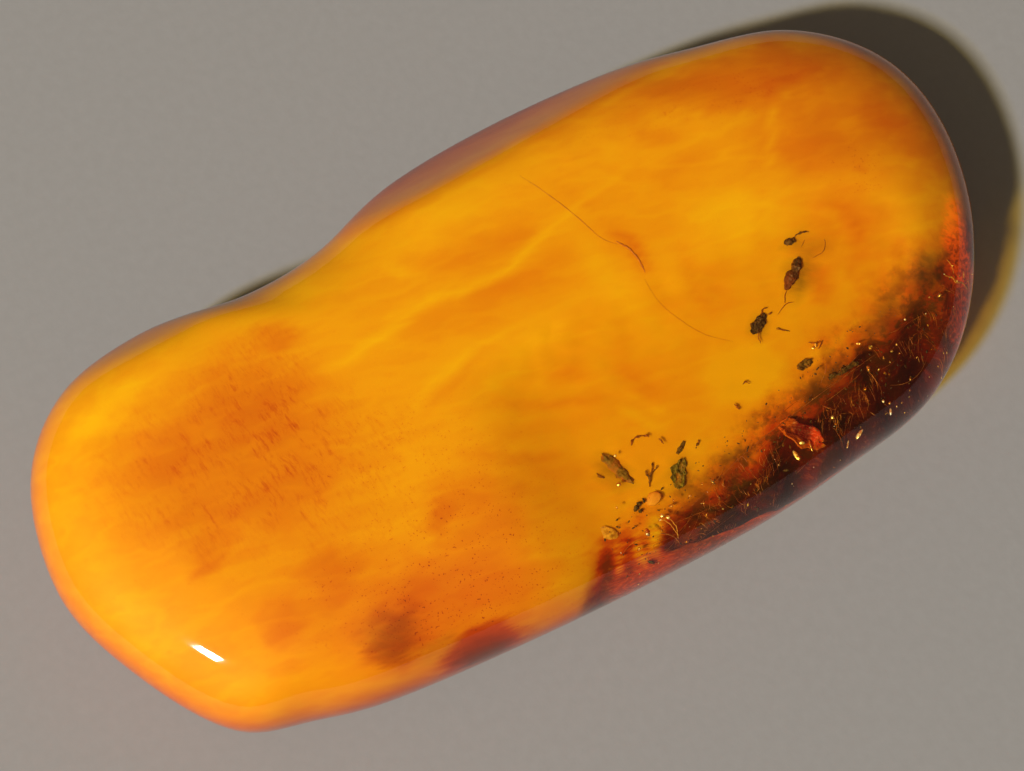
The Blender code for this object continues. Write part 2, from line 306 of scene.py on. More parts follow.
class Finish:
    """A material in the making. Places in it are in millimetres, in the nugget's own frame."""

    def __init__(self, name):
        self.material = bpy.data.materials.new(name)
        self.material.use_nodes = True
        self.tree = self.material.node_tree
        self.tree.nodes.clear()
        metres = self.add("ShaderNodeTexCoord").outputs["Object"]
        self.place = self.vector("SCALE", metres, Scale=1 / MM)

    def add(self, kind, values=None, **settings):
        """Adds a node: its settings first, then the values or links of its sockets."""
        node = self.tree.nodes.new(kind)
        for name, setting in settings.items():
            if name == "stops":
                self.set_stops(node.color_ramp, setting)
            else:
                setattr(node, name, setting)
        for key, value in (values or {}).items():
            socket = node.inputs[key]
            if isinstance(value, Value):
                value = value.socket
            if isinstance(value, bpy.types.NodeSocket):
                self.tree.links.new(value, socket)
            elif socket.type == "RGBA":
                socket.default_value = (*value[:3], 1.0)
            else:
                socket.default_value = value
        return node

    def set_stops(self, ramp, stops):
        for number, (place, colour) in enumerate(stops):
            stop = ramp.elements[number] if number < 2 else ramp.elements.new(place)
            stop.position, stop.color = place, (*colour, 1.0)

    def vector(self, operation, *terms, **values):
        """A vector from Vector Math."""
        values |= dict(enumerate(terms))
        return self.add("ShaderNodeVectorMath", values, operation=operation).outputs[0]

    def stretched(self, turn, scale, place=None):
        """Places turned by degrees about the upright, then measured against a scale."""
        values = {"Vector": place or self.place, "Rotation": (0, 0, radians(turn)), "Scale": scale}
        return self.add("ShaderNodeMapping", values, vector_type="TEXTURE").outputs[0]

    def warped(self, amount, size):
        """Places drifted by up to about half the amount, in swirls of a size."""
        values = {"Vector": self.place, "Scale": 1 / size, "Detail": 2.0}
        swirl = self.add("ShaderNodeTexNoise", values).outputs["Color"]
        centred = self.vector("SUBTRACT", swirl, (0.5, 0.5, 0.5))
        return self.vector("ADD", self.place, self.vector("SCALE", centred, Scale=amount))

    def grain(self, size, detail=2.0, place=None, rough=0.5):
        """Soft noise from about 0.3 to 0.7, in grains of a size."""
        values = {"Vector": place or self.place, "Scale": 1 / size}
        values |= {"Detail": detail, "Roughness": rough}
        return Value(self, self.add("ShaderNodeTexNoise", values).outputs["Fac"])

    def step(self, value, low, high, bottom=0.0, top=1.0):
        """Softly from bottom to top as a value goes from low to high."""
        values = {"Value": value, "From Min": low, "From Max": high}
        values |= {"To Min": bottom, "To Max": top}
        node = self.add("ShaderNodeMapRange", values, interpolation_type="SMOOTHSTEP")
        return Value(self, node.outputs["Result"])

    def part(self, axis):
        """One coordinate of a place."""
        return Value(self, self.add("ShaderNodeSeparateXYZ", {0: self.place}).outputs[axis])

    def carried(self, name):
        """A number that the mesh carries at its points."""
        return Value(self, self.add("ShaderNodeAttribute", attribute_name=name).outputs["Fac"])

    def ramp(self, value, stops):
        """A colour from a value and its stops."""
        return self.add("ShaderNodeValToRGB", {0: value}, stops=stops).outputs["Color"]

    def mix(self, factor, first, second):
        """A colour between two."""
        values = {0: factor, 6: first, 7: second}
        return self.add("ShaderNodeMix", values, data_type="RGBA").outputs[2]

    def bump(self, height, depth, strength=1.0):
        """A normal from a height, where 1 stands out by depth."""
        values = {"Height": height, "Distance": depth * MM, "Strength": strength}
        return self.add("ShaderNodeBump", values).outputs[0]

    def shader(self, **values):
        """The Principled shader. An underscore in a name stands for a space."""
        named = {name.replace("_", " "): value for name, value in values.items()}
        return self.add("ShaderNodeBsdfPrincipled", named).outputs[0]

    def output(self, surface, volume=None):
        values = {"Surface": surface} if volume is None else {"Surface": surface, "Volume": volume}
        self.add("ShaderNodeOutputMaterial", values)
        return self


AMBER_IOR = 1.54
AMBER_ROUGHNESS = 0.035
AMBER_TAKES = (30.0, 120.0, 600.0)  # light taken in a metre of clear amber: red, green, blue


def clear_finish():
    """Clear amber, polished by hand. Lamps reach what is sealed in it."""
    f = Finish("clear_amber")
    waves = f.grain(3.5, 2.0)
    scuffs = f.grain(0.6, 3.0, f.stretched(35, (1.0, 4.0, 1.0)))
    normal = f.bump(waves * 0.8 + scuffs * 0.06, 0.05, 0.35)
    glass = f.shader(
        Base_Color=(1.0, 1.0, 1.0),
        Roughness=AMBER_ROUGHNESS,
        IOR=AMBER_IOR,
        Transmission_Weight=1.0,
        Normal=normal,
    )
    open_to_lamps = f.add("ShaderNodeBsdfTransparent").outputs[0]
    lamp = f.add("ShaderNodeLightPath").outputs["Is Shadow Ray"]
    surface = f.add("ShaderNodeMixShader", {0: lamp, 1: glass, 2: open_to_lamps}).outputs[0]
    most = max(AMBER_TAKES)
    left = [1 - taken / most for taken in AMBER_TAKES]
    volume = f.add("ShaderNodeVolumeAbsorption", {"Color": left, "Density": most}).outputs[0]
    return f.output(surface, volume)


# The milky amber's tone runs from 0, dark resin, through red and orange to 1, pale yellow.
MILK_STOPS = (
    (0.0, (0.2, 0.03, 0.004)),
    (0.16, (0.36, 0.035, 0.002)),
    (0.3, (0.55, 0.06, 0.001)),
    (0.45, (0.72, 0.16, 0.0004)),
    (0.62, (0.83, 0.28, 0.0004)),
    (0.8, (0.91, 0.42, 0.0004)),
    (1.0, (0.97, 0.6, 0.0006)),
)
MILK_TONE = 0.78
MILK_CONTRAST = 1.5
# Where the milk is thicker or thinner, and where shade and light are painted on it: x, y, half
# length, half width, turn, change of tone.
MILK_PATCHES = {
    "left_field": (-21.4, 1.4, 9.4, 6.2, -22, -0.11),
    "field_heart": (-24.8, 4.5, 2.0, 1.8, -28, -0.03),
    "field_by_waist": (-17.8, 5.6, 4.6, 3.2, -30, -0.07),
    "blot_by_waist": (-15.0, 8.3, 1.8, 1.2, -28, -0.12),
    "spotted_smudge": (-25.6, -3.4, 1.1, 0.9, -28, -0.12),
    "middle_smudge": (-18.8, -8.4, 1.6, 2.0, -28, -0.07),
    "foot_smudge": (-22.8, -9.2, 1.6, 1.9, -28, -0.06),
    "upright_smudge": (-11.0, -8.2, 0.8, 2.6, -28, -0.1),
    "by_upright": (-8.5, -8.9, 3.6, 2.5, -28, -0.08),
    "brown_smudge": (-17.0, -13.5, 2.5, 1.9, -28, -0.12),
    "red_brown_smudge": (-12.4, -16.4, 2.8, 1.2, -3, -0.24),
    "pale_heel": (-4.6, -15.5, 1.2, 1.5, -28, 0.03),
    "big_sector": (24.6, 3.6, 3.4, 2.8, -28, -0.05),
    "reddish_dots": (26.3, 0.0, 0.7, 0.7, -28, -0.08),
    "pale_right": (26.9, -3.5, 3.1, 1.8, 32, 0.03),
    "pale_left_of_husk": (16.5, 1.0, 3.2, 2.4, -28, 0.07),
    "pale_by_chips": (12.0, -9.0, 2.6, 2.0, -28, 0.15),
    # painted shade on the crest, which faces away from the lamp
    "crest_shade": (24.6, 9.6, 9.4, 2.6, -16, -0.17),
    "bright_by_facet": (11.3, 11.3, 1.8, 1.2, 2, 0.02),
    # painted shade on the end that faces away from the lamp
    "end_shade": (31.6, 1.6, 5.6, 2.8, -72, -0.1),
    # painted light on the end that faces the lamp
    "lower_left_glow": (-31.6, -4.7, 4.4, 2.0, -78, 0.03),
    "left_shoulder_glow": (-26.9, 8.7, 4.4, 1.5, 12, 0.08),
    "orange_foot": (-11.9, -13.1, 6.6, 2.9, -8, -0.12),
    "lower_right_foot": (-7.1, -15.7, 2.9, 1.5, -3, -0.05),
    # painted shade on the end that faces away from the lamp
    "right_end": (27.6, 1.4, 9.0, 6.4, -50, -0.12),
    "by_ring": (23.0, -4.2, 3.9, 3.0, 0, -0.11),
    "waist_flank": (-6.0, 9.8, 5.0, 1.8, 5, -0.04),
    "far_flank": (14.0, 12.0, 7.0, 2.6, -5, -0.07),
    "red_patch": (-1.2, -14.9, 1.9, 0.9, 15, -0.26),
    "left_half": (-24.0, -3.0, 12.0, 11.0, 0, -0.035),
    "middle_low": (-5.2, -10.0, 5.5, 5.2, -28, -0.06),
    "low_orange": (-17.0, -12.0, 9.5, 4.8, -20, -0.1),
}
# Streaks in it: half width, change of tone, and a line in plan.
MILK_STREAKS = {
    "long_streak": (
        0.33, 0.11, ((-15.4, 4.6), (-9.7, 4.5), (-4.5, 5.3), (0.6, 4.8), (5.7, 6.2), (12.9, 7.7))
    ),
    "upper_twin": (0.28, 0.05, ((-10.7, 4.8), (-8.7, 5.0), (-6.7, 5.7), (-5.2, 5.9))),
    "field_over_streak": (1.02, -0.09, ((-4.0, 7.3), (-0.7, 7.1), (2.5, 6.6), (4.9, 7.1))),
    "shade_under_streak": (0.58, -0.07, ((-2.5, 4.6), (0.2, 4.1), (2.4, 3.8), (6.0, 4.0))),
    "field_under_streak": (1.09, -0.06, ((-7.4, 3.5), (-3.9, 3.6), (-0.6, 3.1), (6.0, 1.9))),
    "outer_arc": (0.3, 0.055, ((-10.0, -1.6), (-8.4, -0.2), (-6.0, 0.7), (-1.1, 0.9), (6.3, 0.2))),
    "dark_arc": (0.26, -0.05, ((-8.8, -2.0), (-7.3, -0.8), (-5.4, -0.1), (-1.9, 0.7))),
    "pale_arc": (0.95, 0.05, ((-4.3, -1.6), (-1.9, -1.5), (-0.1, -0.9), (3.7, -1.0))),
    "flame": (0.36, -0.1, ((-4.4, -2.6), (-2.2, -4.3), (0.8, -5.4), (2.7, -6.2))),
    "left_lobe": (0.66, -0.07, ((-0.3, -2.9), (1.5, -3.3), (2.9, -4.1))),
    "right_lobe": (0.73, -0.08, ((5.5, -2.9), (4.9, -4.6), (5.1, -6.2), (6.5, -8.0))),
    "upper_stroke": (0.28, 0.08, ((4.2, -6.2), (4.9, -7.9), (5.9, -9.1))),
    "lower_stroke": (0.29, 0.08, ((3.2, -7.0), (4.1, -8.4), (5.2, -10.0))),
    "lower_band": (0.44, -0.08, ((-8.2, -4.5), (-6.4, -5.5), (-4.8, -6.9), (-1.9, -8.1))),
    "line_over_band": (0.28, 0.05, ((-8.2, -4.0), (-6.5, -5.2), (-4.5, -6.3), (-0.7, -8.1))),
    "line_under_flame": (0.28, 0.04, ((-4.3, -4.2), (-2.0, -5.2), (0.3, -6.3))),
    "facet_edge": (
        0.26, 0.05, ((-6.0, 11.8), (0.1, 12.4), (7.5, 13.1), (12.2, 13.0), (16.9, 12.7))
    ),
    "bright_flank": (1.09, 0.07, ((-13.9, 10.8), (-7.1, 9.7), (-0.3, 10.5), (3.7, 11.0))),
    "flank_spur": (0.44, 0.06, ((-6.3, 9.3), (-4.7, 7.7))),
    "beside_crack": (0.88, 0.06, ((5.8, 6.4), (7.1, 3.9), (7.0, 1.4), (8.0, -3.3), (9.5, -6.1))),
    "far_ring": (
        0.3, -0.06, ((22.4, -0.3), (24.0, -2.1), (24.0, -4.0), (22.9, -5.7), (19.8, -7.3))
    ),
    "near_ring": (0.3, 0.05, ((22.6, -1.4), (23.0, -2.7), (22.5, -4.6), (20.3, -6.5))),
    "left_ring": (0.28, 0.045, ((18.0, -1.7), (18.1, -3.1), (19.4, -3.9), (21.2, -4.6))),
    "left_shade": (0.29, -0.04, ((19.3, 0.4), (18.1, -1.2), (17.7, -3.3))),
    "bud_shade": (0.8, -0.16, ((20.2, -4.7), (19.7, -6.2), (18.8, -7.1))),
    "crescent": (0.58, -0.07, ((12.7, 0.9), (12.2, -1.5), (11.9, -3.9), (12.5, -5.4))),
    "by_crescent": (1.09, -0.06, ((13.8, -1.3), (13.3, -3.3), (13.4, -4.9))),
    "top_smear": (0.73, -0.06, ((13.6, 10.8), (15.1, 8.6), (16.9, 7.9))),
    "second_smear": (0.66, -0.06, ((12.9, 5.6), (14.3, 5.5), (16.5, 5.7), (18.5, 4.9))),
    "sector_edge": (0.29, 0.08, ((20.6, 2.6), (21.8, 4.3), (23.7, 6.7), (28.0, 7.5), (29.5, 7.9))),
    "crest_arc": (0.58, 0.02, ((24.6, 4.8), (26.9, 3.7), (29.3, 2.0), (30.5, -1.5))),
    "first_ray": (0.26, 0.06, ((15.2, -10.8), (18.5, -10.1), (22.1, -9.6), (24.3, -9.0))),
    "second_ray": (0.26, 0.05, ((15.3, -9.9), (18.0, -9.9), (21.1, -9.8))),
    "border_line": (0.26, 0.06, ((-8.3, -13.0), (-6.2, -13.5), (-3.9, -14.2))),
    "border_haze": (0.29, 0.05, ((-6.9, -12.4), (-4.6, -13.3), (-2.3, -14.1))),
    "crack_haze": (0.4, -0.035, ((5.5, 10.8), (7.4, 8.4), (8.4, 6.0), (9.2, 3.9))),
    "slit_haze": (0.5, -0.16, ((8.6, 3.8), (9.4, 2.6), (9.7, 1.0), (9.5, 0.0))),
    "crack_tail_haze": (0.4, -0.03, ((9.4, 0.2), (9.5, -1.7), (10.2, -3.4), (11.2, -5.4))),
}
# Where it is lower, under the thinnest pieces of plant: the last number is how much.
DIPS = {
    "olive_leaf": (1.2, -10.55, 1.3, 0.7, -67, 0.16),
    "sprig": (3.05, -11.95, 0.7, 0.5, 50, 0.12),
    "small_leaf": (16.0, -10.35, 0.8, 0.5, 0, 0.1),
}
# Where reddish strokes and where dark pits are thick in it: the last number is how thick.
MILK_STROKES = {
    "strokes_left": (-22.0, 1.5, 9.5, 6.5, -25, 0.8),
    "strokes_by_waist": (-17.0, 6.5, 4.5, 3.5, -50, 0.7),
    "strokes_middle": (-14.0, -3.0, 7.0, 5.5, -60, 0.6),
}
MILK_PITS = {
    "pits_foot": (-12.0, -12.0, 10.0, 5.0, -15, 1.0),
    "pits_middle": (-10.0, -5.0, 8.0, 5.0, -30, 0.6),
    "pits_crest": (20.0, 9.5, 8.0, 2.0, -10, 0.4),
    "pits_right": (26.3, 0.0, 2.0, 2.0, 0, 1.0),
}
# Where the clear resin is redder; at the far end this is painted glow, where light leaves the rim.
RED_RESIN = {
    "red_end": (0.3, -16.0, 3.4, 2.6, 0, 0.16),
    "far_end_painted_glow": (29.0, -8.4, 3.4, 2.6, 30, 0.36),
    "red_heart": (13.5, -15.0, 3.0, 1.2, 10, 0.12),
    "red_rise": (22.0, -13.5, 4.0, 1.0, 15, 0.1),
}
# Pale slabs in the red resin at the end towards -X.
PALE_SLABS = {
    "slab_one": (0.4, 0.5, ((-0.4, -14.5), (-1.4, -15.3), (-2.6, -16.5))),
    "slab_two": (0.27, 0.5, ((0.4, -14.3), (0.25, -15.3), (-0.2, -16.5))),
    "slab_three": (0.42, 0.55, ((2.3, -14.2), (1.75, -15.3), (0.9, -16.5))),
}
# Brown smoke in it, most of it by the pieces of plant: the last number is how thick it is.
MILK_SMOKE = {
    "by_husk": (19.9, -2.6, 0.9, 0.6, 20, 0.3),
    "wing_lens": (20.9, -3.5, 1.1, 0.8, -28, 0.24),
    "by_bud": (18.9, -4.9, 1.9, 0.95, 42, 0.55),
    "by_bark": (14.5, -6.75, 0.95, 0.7, 60, 0.3),
    "by_olive_leaf": (1.1, -10.7, 1.5, 0.9, -67, 0.34),
    "by_green_leaf": (4.8, -12.9, 1.3, 0.9, 54, 0.36),
    "brown_smudge": (-17.2, -13.4, 2.0, 1.6, -28, 0.34),
    "brown_foot": (-14.8, -15.6, 1.6, 0.9, -10, 0.2),
    "border_one": (7.4, -13.7, 2.4, 0.7, 8, 0.5),
    "border_two": (17.0, -11.9, 1.9, 0.9, 20, 0.6),
    "border_three": (22.4, -10.0, 2.2, 1.2, 30, 0.55),
    "border_four": (27.0, -8.3, 1.7, 1.3, 40, 0.6),
}
# Where light comes through at the rim.
MILK_GLOWS = {
    "glow_right": (30.4, -7.4, 3.2, 1.1, 62, 1.3),
    "glow_far": (27.4, -11.6, 2.4, 0.8, 50, 0.5),
    "glow_end": (-0.5, -16.9, 2.4, 0.8, 0, 0.16),
}
MARKS_LOW_DOWN = 0.3  # the share of a mark's change that is left low on the sides
MARKS_HEIGHTS = (3.5, 8.0)  # where it is least, and full
# What each thing changes the tone by.
PLANTS_TONE = 0.08
SLAB_TONE = 1.35
# painted light: the bright red line where light leaves the clear rim
LIP_PAINTED_LIGHT = 0.55
FOLD_TONE = 0.045
FLOW_TONE = 0.11
# painted shade on the facet
FACET_PAINTED_SHADE = -0.1
RIM_TONE = -0.4
RESIN_TONE = -0.8
STROKE_DARKENING = 0.11
LONG_STROKE_DARKENING = 0.14
PIT_DARKENING = 0.3
# Turns in degrees from +X.
FLOW_TURN = -12.0
STROKE_TURN = -85.0
LONG_STROKE_TURN = -79.0
FIBRE_TURN = -40.0
FACET_BLEND = (0.9, 0.5)  # how far under the facet its tone starts, and is full
FACET_ENDS = (-16.0, -10.0)  # along X
RIM_HEIGHTS = (11.4, 5.8)
RAGGED_EDGE = 4.4  # how far the milk's edge wanders
PLAIN_PITS = 0.15  # how thick the pits are elsewhere
SMOKE = (0.1, 0.048, 0.004)
RESIN_FIBRES = (0.5, 0.12, 0.006)
DUST_CLOUDS = (0.085, 0.042, 0.005)
LIP_GLOW = 0.4
GLOW = (0.4, 0.035, 0.0008)  # light that has come through the milk, and leaves it at the clear rim


def milky_finish():
    """Milky amber: clouds, streaks, flow lines, strokes and pits, and dust at the clear edge."""
    f = Finish("milky_amber")
    drifted = f.warped(1.2, 4.0)
    tone = f.carried("tone")

    flow = f.stretched(FLOW_TURN, (3.2, 1.0, 1.0), drifted)
    folds = 1 - abs(f.grain(2.4, 3.0, flow) * 4 - 2)
    tone = tone + f.step(folds, 0.6, 1.0) * FOLD_TONE
    tone = tone + (f.grain(1.1, 4.0, flow) - 0.5) * FLOW_TONE

    toward_facet = {0: f.place, 1: tuple(FACET_NORMAL)}
    out = f.add("ShaderNodeVectorMath", toward_facet, operation="DOT_PRODUCT").outputs["Value"]
    start, full = FACET_BLEND
    on_facet = f.step(Value(f, out), FACET_DISTANCE - start, FACET_DISTANCE - full)
    # The facet faces away from the lamp: its tone is lowered as painted shade, which also makes it
    # more orange.
    tone = tone + on_facet * f.step(f.part("X"), *FACET_ENDS) * FACET_PAINTED_SHADE
    tone = tone + f.step(f.part("Z"), *RIM_HEIGHTS) * RIM_TONE

    along = f.part("X") - CLEAR_EDGE_START[0]
    line = along * CLEAR_EDGE_RISE + along * along * CLEAR_EDGE_BEND + CLEAR_EDGE_START[1]
    ragged = (f.grain(2.6, 4.0, None, 0.62) - 0.5) * RAGGED_EDGE
    past = line - f.part("Y") - f.step(along, *MILKY_RIM_X) * MILKY_RIM + ragged
    to_right = f.step(along, 8.0, 28.0)
    tone = tone + f.step(past, -1.6 - to_right * 2.6, 2.6 + to_right * 0.6) * RESIN_TONE

    bent = f.warped(0.5, 1.5)
    strokes = f.grain(0.26, 3.0, f.stretched(STROKE_TURN, (3.2, 1.0, 1.0), bent), 0.65)
    long_strokes = f.grain(0.4, 3.0, f.stretched(LONG_STROKE_TURN, (4.6, 1.0, 1.0), bent), 0.6)
    clumps = f.step(f.grain(1.3, 2.0, drifted), 0.32, 0.6)
    dark = f.step(strokes, 0.46, 0.7) * STROKE_DARKENING
    dark = dark + f.step(long_strokes, 0.52, 0.7) * LONG_STROKE_DARKENING
    tone = tone - dark * clumps * f.carried("strokes")
    pits = f.step(f.grain(0.15, 1.0), 0.64, 0.74)
    tone = tone - pits * clumps * f.carried("pits") * PIT_DARKENING
    colour = f.ramp(tone, MILK_STOPS)

    fibres = f.grain(0.3, 4.0, f.stretched(FIBRE_TURN, (3.5, 1.0, 1.0), bent), 0.65)
    smoke = f.carried("smoke") * f.step(fibres, 0.35, 0.6, 0.8, 1.08)
    colour = f.mix(smoke, colour, SMOKE)
    in_resin = f.step(past, 0.0, 2.0)
    colour = f.mix(f.step(fibres, 0.5, 0.68) * in_resin * 0.6, colour, RESIN_FIBRES)
    clouds = f.step(f.grain(1.7, 5.0, None, 0.68), 0.43, 0.58)
    band = f.step(past, -1.6 - to_right * 0.8, 1.0) * f.step(past, 4.8, 2.2)
    band = band * f.step(f.part("X"), 1.0, 6.0)
    colour = f.mix(clouds * band * 0.8, colour, DUST_CLOUDS)
    glow = f.carried("glow") * f.step(fibres, 0.4, 0.62, 0.25, 1.2)
    surface = f.shader(
        Base_Color=colour,
        Roughness=0.55,
        Specular_IOR_Level=0.1,
        Emission_Color=f.mix(glow, (0.0, 0.0, 0.0), GLOW),
        Emission_Strength=1.0,
    )
    f.material.cycles.emission_sampling = "NONE"
    return f.output(surface)


PLANT_RELIEF = 0.05
PLANT_STOPS = (0.36, 0.5, 0.66)


def plant_finish(name, tones, grain=0.16, rough=0.6, haze=None, end=None):
    """Old plant matter: fibres and blotches in three tones, veiled by the milk that it lies in."""
    f = Finish(name)
    fibres = f.grain(grain, 5.0, f.stretched(25, (2.2, 1.0, 1.0)), 0.65)
    blotches = f.grain(grain * 3, 2.0)
    colour = f.ramp(fibres * 0.7 + blotches * 0.3, tuple(zip(PLANT_STOPS, tones)))
    if end is not None:
        end_colour, far, near = end
        colour = f.mix(f.step(f.part("X") + fibres - 0.5, near, far, 0.0, 0.85), colour, end_colour)
    if haze is not None:
        y = f.part("Y")
        bed = SEAM_HEIGHT + y * SEAM_TILT - (y * (-1 / SEAM_EDGE)) ** SEAM_EDGE_POWER * SEAM_DROP
        sunk = bed + (f.grain(0.5, 3.0) - 0.5) * 0.7 - f.part("Z")
        colour = f.mix(f.step(sunk, -0.12, 0.14, 0.1, 1.0), colour, haze)
    surface = f.shader(
        Base_Color=colour,
        Roughness=f.step(blotches, 0.35, 0.65, rough - 0.15, rough + 0.15),
        Normal=f.bump(fibres, PLANT_RELIEF, 0.8),
    )
    return f.output(surface)


# Colours of the pieces of plant: dark, middle and light.
PLANT_COLOURS = {
    "seed_husk": ((0.015, 0.008, 0.002), (0.07, 0.035, 0.006), (0.26, 0.14, 0.03)),
    "bud": ((0.014, 0.006, 0.001), (0.06, 0.022, 0.003), (0.2, 0.08, 0.01)),
    "bark_chip": ((0.006, 0.005, 0.006), (0.02, 0.013, 0.012), (0.09, 0.045, 0.014)),
    "needle": ((0.12, 0.025, 0.002), (0.26, 0.06, 0.004), (0.45, 0.14, 0.008)),
    "green_leaf_scrap": ((0.05, 0.05, 0.004), (0.15, 0.14, 0.01), (0.36, 0.3, 0.02)),
    "olive_leaf_scrap": ((0.07, 0.045, 0.004), (0.2, 0.13, 0.01), (0.42, 0.28, 0.03)),
    "small_leaf": ((0.05, 0.03, 0.004), (0.17, 0.09, 0.01), (0.36, 0.22, 0.04)),
    "long_twig": ((0.05, 0.028, 0.003), (0.14, 0.08, 0.008), (0.28, 0.16, 0.02)),
    "short_twig": ((0.12, 0.03, 0.002), (0.28, 0.08, 0.004), (0.45, 0.16, 0.012)),
    "leaf_stalk": ((0.09, 0.03, 0.002), (0.24, 0.08, 0.005), (0.42, 0.17, 0.014)),
    "curled_stem": ((0.14, 0.03, 0.002), (0.34, 0.08, 0.004), (0.5, 0.17, 0.009)),
    "dark_twig": ((0.012, 0.008, 0.003), (0.06, 0.034, 0.006), (0.18, 0.1, 0.014)),
    "sprig": ((0.1, 0.04, 0.003), (0.28, 0.12, 0.008), (0.48, 0.24, 0.02)),
    "wood_chip": ((0.5, 0.2, 0.01), (0.85, 0.42, 0.03), (1.0, 0.62, 0.09)),
}
# An end of another colour: the colour, and the places along X where it is full and where it starts.
PLANT_ENDS = {
    "bud": ((0.2, 0.035, 0.003), 17.6, 18.9),
}
HAZE = (0.5, 0.16, 0.002)  # the milk's own colour where it veils them
BRACT_TURN = -46.0
BRACT_MIDDLE = (19.67, 0.0)  # along it and across it
# How deep the pieces are torn, and the size of the tears.
TEAR_DEPTH = 0.3
TEAR_DEPTHS = {
    "bark_chip": 0.42,
    "bract": 0.1,
    "wood_chip": 0.07,
    "olive_leaf_scrap": 0.16,
    "green_leaf_scrap": 0.24,
}
TEAR_SIZE = 0.28
TEAR_FINENESS = 3


def bract_finish():
    """A glossy red bract: orange where it is thin, dark red in its middle as painted shade, with a
    yellow rim that is a painted highlight.
    """
    f = Finish("bract")
    c, s = cos(radians(BRACT_TURN)), sin(radians(BRACT_TURN))
    along = f.part("X") * c + f.part("Y") * s
    across = f.part("Y") * c - f.part("X") * s
    veins = f.grain(0.22, 5.0, f.stretched(BRACT_TURN, (4.0, 1.0, 1.0)), 0.6)
    place = along - BRACT_MIDDLE[0] + (veins - 0.5) * 1.1
    # Orange, then dark red across its middle: painted shade.
    colour = f.mix(f.step(place, -1.2, -0.5), (0.8, 0.16, 0.005), (0.2, 0.008, 0.001))
    colour = f.mix(f.step(place, 0.3, 0.8), colour, (0.72, 0.05, 0.001))
    colour = f.mix(f.step(place, 1.3, 1.7), colour, (0.95, 0.3, 0.015))
    # A painted highlight along its lower rim.
    painted_rim_highlight = f.step(across - BRACT_MIDDLE[1] + (veins - 0.5) * 0.6, -0.2, -0.55)
    colour = f.mix(painted_rim_highlight * 0.7, colour, (0.9, 0.2, 0.008))
    surface = f.shader(
        Base_Color=colour,
        Roughness=f.step(veins, 0.35, 0.65, 0.25, 0.5),
        Coat_Weight=0.2,
        Coat_Roughness=0.15,
        Normal=f.bump(veins, 0.1, 0.8),
    )
    return f.output(surface)


def ragged(node, depth):
    """Breaks up a piece's smooth outline, as it has rotted and torn."""
    finer = node.modifiers.new("finer", "SUBSURF")
    finer.levels = finer.render_levels = TEAR_FINENESS
    finer.subdivision_type = "SIMPLE"
    texture = bpy.data.textures.new("torn", "CLOUDS")
    texture.noise_scale = TEAR_SIZE * MM
    texture.noise_depth = TEAR_FINENESS
    torn = node.modifiers.new("torn", "DISPLACE")
    torn.texture = texture
    torn.strength = depth * MM
    torn.mid_level = 0.55
    node.data.shade_smooth()


def finish_plants():
    """Gives each piece of plant its finish, and tears it."""
    finishes = {
        name: plant_finish(name, tones, haze=HAZE, end=PLANT_ENDS.get(name))
        for name, tones in PLANT_COLOURS.items()
    }
    finishes["bract"] = bract_finish()
    for name, finish in finishes.items():
        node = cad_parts[name]
        node.data.materials.clear()
        node.data.materials.append(finish.material)
        ragged(node, TEAR_DEPTHS.get(name, TEAR_DEPTH))


# The amber.


def clear_body():
    points, faces = ball(SKIN_SUBDIVISIONS)
    skin = mesh_object("amber", nugget_surface(points), faces)
    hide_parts("amber_lower", "amber_upper")
    return finished(skin, clear_finish())


def inside_rim(x, y):
    """How far inside the nugget's outline a place lies, seen from above."""
    curve = closed_curve(OUTLINE)
    bearings = np.arctan2(curve[:, 1], curve[:, 0])
    order = np.argsort(bearings)
    reach = np.interp(np.arctan2(y, x), bearings[order], np.hypot(*curve.T)[order], period=2 * pi)
    return reach - np.hypot(x, y)


def ovals(x, y, table):
    """Soft oval marks, laid over one another. Each is full in its middle and gone outside."""
    total = np.zeros_like(x)
    for middle_x, middle_y, half_length, half_width, turn, change in table.values():
        c, s = cos(radians(turn)), sin(radians(turn))
        along = ((x - middle_x) * c + (y - middle_y) * s) / half_length
        across = ((y - middle_y) * c - (x - middle_x) * s) / half_width
        total += change * smooth(-np.hypot(along, across), -1.35, -0.35)
    return total


def streaks(x, y, table):
    """Soft lines that fade at both ends."""
    total = np.zeros_like(x)
    for half_width, change, knots in table.values():
        path = eased(knots, 7 * len(knots))
        reach = 2.6 * half_width
        (low_x, low_y), (high_x, high_y) = path.min(0) - reach, path.max(0) + reach
        near = np.flatnonzero((x > low_x) & (x < high_x) & (y > low_y) & (y < high_y))
        own_x, own_y = x[near], y[near]
        nearest, place = np.full(len(near), reach), np.zeros(len(near))
        for number, (start, end) in enumerate(zip(path[:-1], path[1:])):
            run, from_x, from_y = end - start, own_x - start[0], own_y - start[1]
            t = np.clip((from_x * run[0] + from_y * run[1]) / (run @ run), 0, 1)
            distance = np.hypot(from_x - t * run[0], from_y - t * run[1])
            place = np.where(distance < nearest, (number + t) / (len(path) - 1), place)
            nearest = np.minimum(distance, nearest)
        total[near] += change * np.exp(-((nearest / half_width) ** 2)) * np.sin(pi * place) ** 0.5
    return total


def carry(piece, name, values):
    """Lets a piece's mesh carry a number at each of its points."""
    carried = piece.data.attributes.new(name, "FLOAT", "POINT")
    carried.data.foreach_set("value", values.astype(np.float32))


def drifts(points, size):
    """Drifts from -1 to 1 in each direction, in swirls of a size. The seed keeps them the same."""
    noise.seed_set(SWIRL_SEED)
    return np.array([noise.noise_vector(Vector(point) / size) for point in points])


